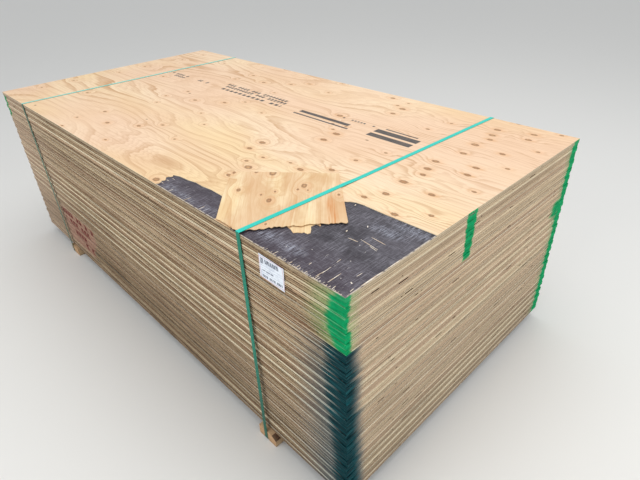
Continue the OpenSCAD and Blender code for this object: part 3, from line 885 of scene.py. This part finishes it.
def dressBearers():
    for name, hasWane in (("bearer_near", True), ("bearer_far", False)):
        low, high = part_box(name)
        material, surface = startMaterial(name.replace("_", "") + "Timber", 0.78, 0.25)
        where, normal = place()
        x, y, z = split(where)
        nx, ny, nz = split(normal)
        pithX = (low.x + high.x) / 2 + bearerLook["pithX"]
        onEnd = ease(size(ny), 0.5, 0.6)
        fibres = noise(vector(times(x, 160.0), times(y, 4.0), times(z, 160.0)), 1.0, 4.0, 0.62)
        wide = noise(vector(times(x, 24.0), times(y, 1.2), times(z, 24.0)), 1.0, 2.0, 0.5)
        side = ramp(add(times(fibres, 0.6), times(wide, 0.4)), bearerLook["side"])
        sawTicks = grain(y, z, 260.0, 12.0, 2.0, 0.6)
        side = mix(ease(sawTicks, 0.5, 0.7, 0.0, 0.25), side, bearerLook["darkBrown"])
        bend = times(less(noise(where, 26.0, 2.0), 0.5), 0.008)
        fromPith = vecCalc("LENGTH", vector(less(x, pithX), 0.0, less(z, bearerLook["pithZ"])))
        rings = calc("FRACT", calc("DIVIDE", add(fromPith, bend), bearerLook["ringSpan"]))
        sawn = ramp(add(times(ease(rings, 0.2, 0.95), 0.6), times(noise(where, 60.0, 3.0), 0.5)), bearerLook["sawn"])
        pores = noise(where, 900.0, 2.0, 0.6)
        sawn = mix(ease(pores, 0.5, 0.7, 0.0, 0.3), sawn, bearerLook["darkBrown"])
        aroundPith = calc("ARCTAN2", less(x, pithX), less(z, bearerLook["pithZ"]))
        checks = ease(noise(vector(times(aroundPith, 30.0), times(fromPith, 9.0)), 1.0, 2.0), 0.68, 0.71)
        sawn = mix(times(checks, 0.7), sawn, bearerLook["bark"])
        colour = mix(onEnd, side, sawn)
        # darker towards the floor
        colour = mix(ease(z, 0.0, 0.012, 0.4, 0.0), colour, bearerLook["darkBrown"])
        height = add(fibres, times(times(rings, onEnd), 0.3))
        if hasWane:
            toEdge = less(x, high.x - bearerLook["waneWidth"] - 0.001)
            slope = less(z, add(times(toEdge, -bearerLook["waneHeight"] / bearerLook["waneWidth"]), high.z - 0.0022))
            flakes = noise(vector(times(x, 130.0), times(y, 40.0), times(z, 130.0)), 1.0, 4.0, 0.7)
            bark = mix(ease(flakes, 0.4, 0.65), bearerLook["bark"], bearerLook["barkLight"])
            bark = mix(ease(less(y, low.y), 0.002, 0.014, 0.75, 0.0), bark, bearerLook["darkBrown"])
            onWane = times(ease(slope, -0.0006, 0.0006), calc("GREATER_THAN", toEdge, -0.001))
            colour = mix(onWane, colour, bark)
            height = add(height, times(times(flakes, onWane), 2.0))
        plug(colour, surface.inputs["Base Color"])
        plug(bump(height, 0.0006, 0.7), surface.inputs["Normal"])
        dress(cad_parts[name], material)


# pressed plastic straps

strapLook = dict(
    # the top and side colours are a lit and a shaded copy of the plastic: painted light on the top, painted shade on
    # the sides
    top=shade(30, 192, 176), topPale=shade(54, 207, 192), side=shade(0, 142, 114), sideDark=shade(0, 114, 92),
    # the dark olive colour is painted shade on the far strap's sides
    scuff=shade(170, 226, 210), farShade=shade(66, 80, 58), farTopPale=shade(206, 230, 212), waffle=0.0021, weldStep=0.0024, weldLow=0.62, weldHigh=0.70,
)


def dressStraps():
    material, surface = startMaterial("strapPlastic", 0.36, 0.22)
    where, normal = place()
    x, y, z = split(where)
    nx, ny, nz = split(normal)
    along = blendValue(ease(size(nz), 0.4, 0.8), z, y)
    streak = grain(x, along, 1300.0, 5.0, 2.0, 0.5)
    patch = grain(x, along, 20.0, 7.0, 2.0, 0.5, 5.0)
    flatTone = add(times(streak, 0.6), times(patch, 0.5))
    # painted light and shade: the strap's top gets a lighter colour than its sides, as the light falls
    top = mix(ease(flatTone, 0.4, 0.75), strapLook["top"], strapLook["topPale"])
    side = mix(ease(flatTone, 0.4, 0.75), strapLook["sideDark"], strapLook["side"])
    # painted shade: the sides darken towards the floor
    lit = ease(z, 0.0, 0.6, 0.45, 1.0)
    side = mix(1.0, side, vector(lit, lit, lit), "MULTIPLY")
    # painted shade darkens the far strap's sides; its top is mixed towards a pale grey green
    far = calc("LESS_THAN", x, 0.0)
    side = mix(times(far, 0.6), side, strapLook["farShade"])
    top = mix(times(far, 0.4), top, strapLook["farTopPale"])
    colour = mix(ease(nz, 0.3, 0.7), side, top)
    scuff = ease(grain(x, along, 500.0, 60.0, 3.0, 0.7, 1.0), 0.62, 0.7, 0.0, 0.35)
    plug(mix(scuff, colour, strapLook["scuff"]), surface.inputs["Base Color"])
    diagonalA = calc("SINE", times(add(x, along), 2 * math.pi / strapLook["waffle"]))
    diagonalB = calc("SINE", times(less(x, along), 2 * math.pi / strapLook["waffle"]))
    ribs = calc("SINE", times(z, 2 * math.pi / strapLook["weldStep"]))
    welded = times(calc("GREATER_THAN", y, halfWidth), within(z, strapLook["weldLow"], strapLook["weldHigh"], 0.002))
    height = add(times(times(diagonalA, diagonalB), 0.25), times(times(ribs, welded), 0.8))
    plug(bump(height, 0.0003, 0.5), surface.inputs["Normal"])
    for name in ("strap_near", "strap_far"):
        dress(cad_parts[name], material)


# paper label with plain ruled lines and bars

labelLook = dict(
    paper=shade(238, 245, 254), stain=shade(220, 228, 240), border=shade(206, 96, 104), rule=shade(120, 134, 160),
    bar=shade(58, 62, 84), width=0.098, height=0.074, tilt=2.0, edge=0.0022, borderWidth=0.0012, ruleWidth=0.0006,
)
# bars on the label: left, right, low, high from its middle, in metres
labelBars = [
    (-0.042, -0.030, 0.012, 0.030), (-0.024, 0.030, 0.016, 0.029), (-0.040, -0.018, -0.030, -0.022),
    (-0.012, 0.012, -0.030, -0.022), (0.018, 0.040, -0.030, -0.022), (-0.040, 0.006, -0.010, -0.006),
]
labelRules = [0.007, -0.001, -0.016]


def dressLabel():
    material, surface = startMaterial("labelPaper", 0.55, 0.3)
    where, normal = place()
    low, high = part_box("label")
    middle = (low + high) / 2
    turn = math.radians(labelLook["tilt"])
    x, y, z = split(where)
    offX, offZ = less(x, middle.x), less(z, middle.z)
    right = add(times(offX, math.cos(turn)), times(offZ, math.sin(turn)))
    up = less(times(offZ, math.cos(turn)), times(offX, math.sin(turn)))
    colour = mix(ease(noise(where, 60.0, 3.0), 0.4, 0.65), labelLook["paper"], labelLook["stain"])
    toEdge = calc("MINIMUM", less(labelLook["width"] / 2, size(right)), less(labelLook["height"] / 2, size(up)))
    line = within(toEdge, labelLook["edge"], labelLook["edge"] + labelLook["borderWidth"], 0.0002)
    colour = mix(times(line, 0.8), colour, labelLook["border"])
    inner = ease(toEdge, 0.004, 0.0045)
    for height in labelRules:
        rule = times(within(up, height, height + labelLook["ruleWidth"], 0.0001), inner)
        colour = mix(times(rule, 0.8), colour, labelLook["rule"])
    for left, edge, bottom, top in labelBars:
        bar = times(within(right, left, edge, 0.0003), within(up, bottom, top, 0.0003))
        blot = ease(grain(right, up, 220.0, 60.0, 2.0, 0.6), 0.4, 0.55, 0.35, 1.0)
        colour = mix(times(times(bar, blot), 0.85), colour, labelLook["bar"])
    plug(colour, surface.inputs["Base Color"])
    plug(bump(noise(where, 220.0, 3.0), 0.0002, 0.4), surface.inputs["Normal"])
    dress(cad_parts["label"], material)


dressLooseVeneer()
addSlivers()
dressBearers()
dressStraps()
dressLabel()
print("veneer, slivers, bearers, straps and label are dressed")
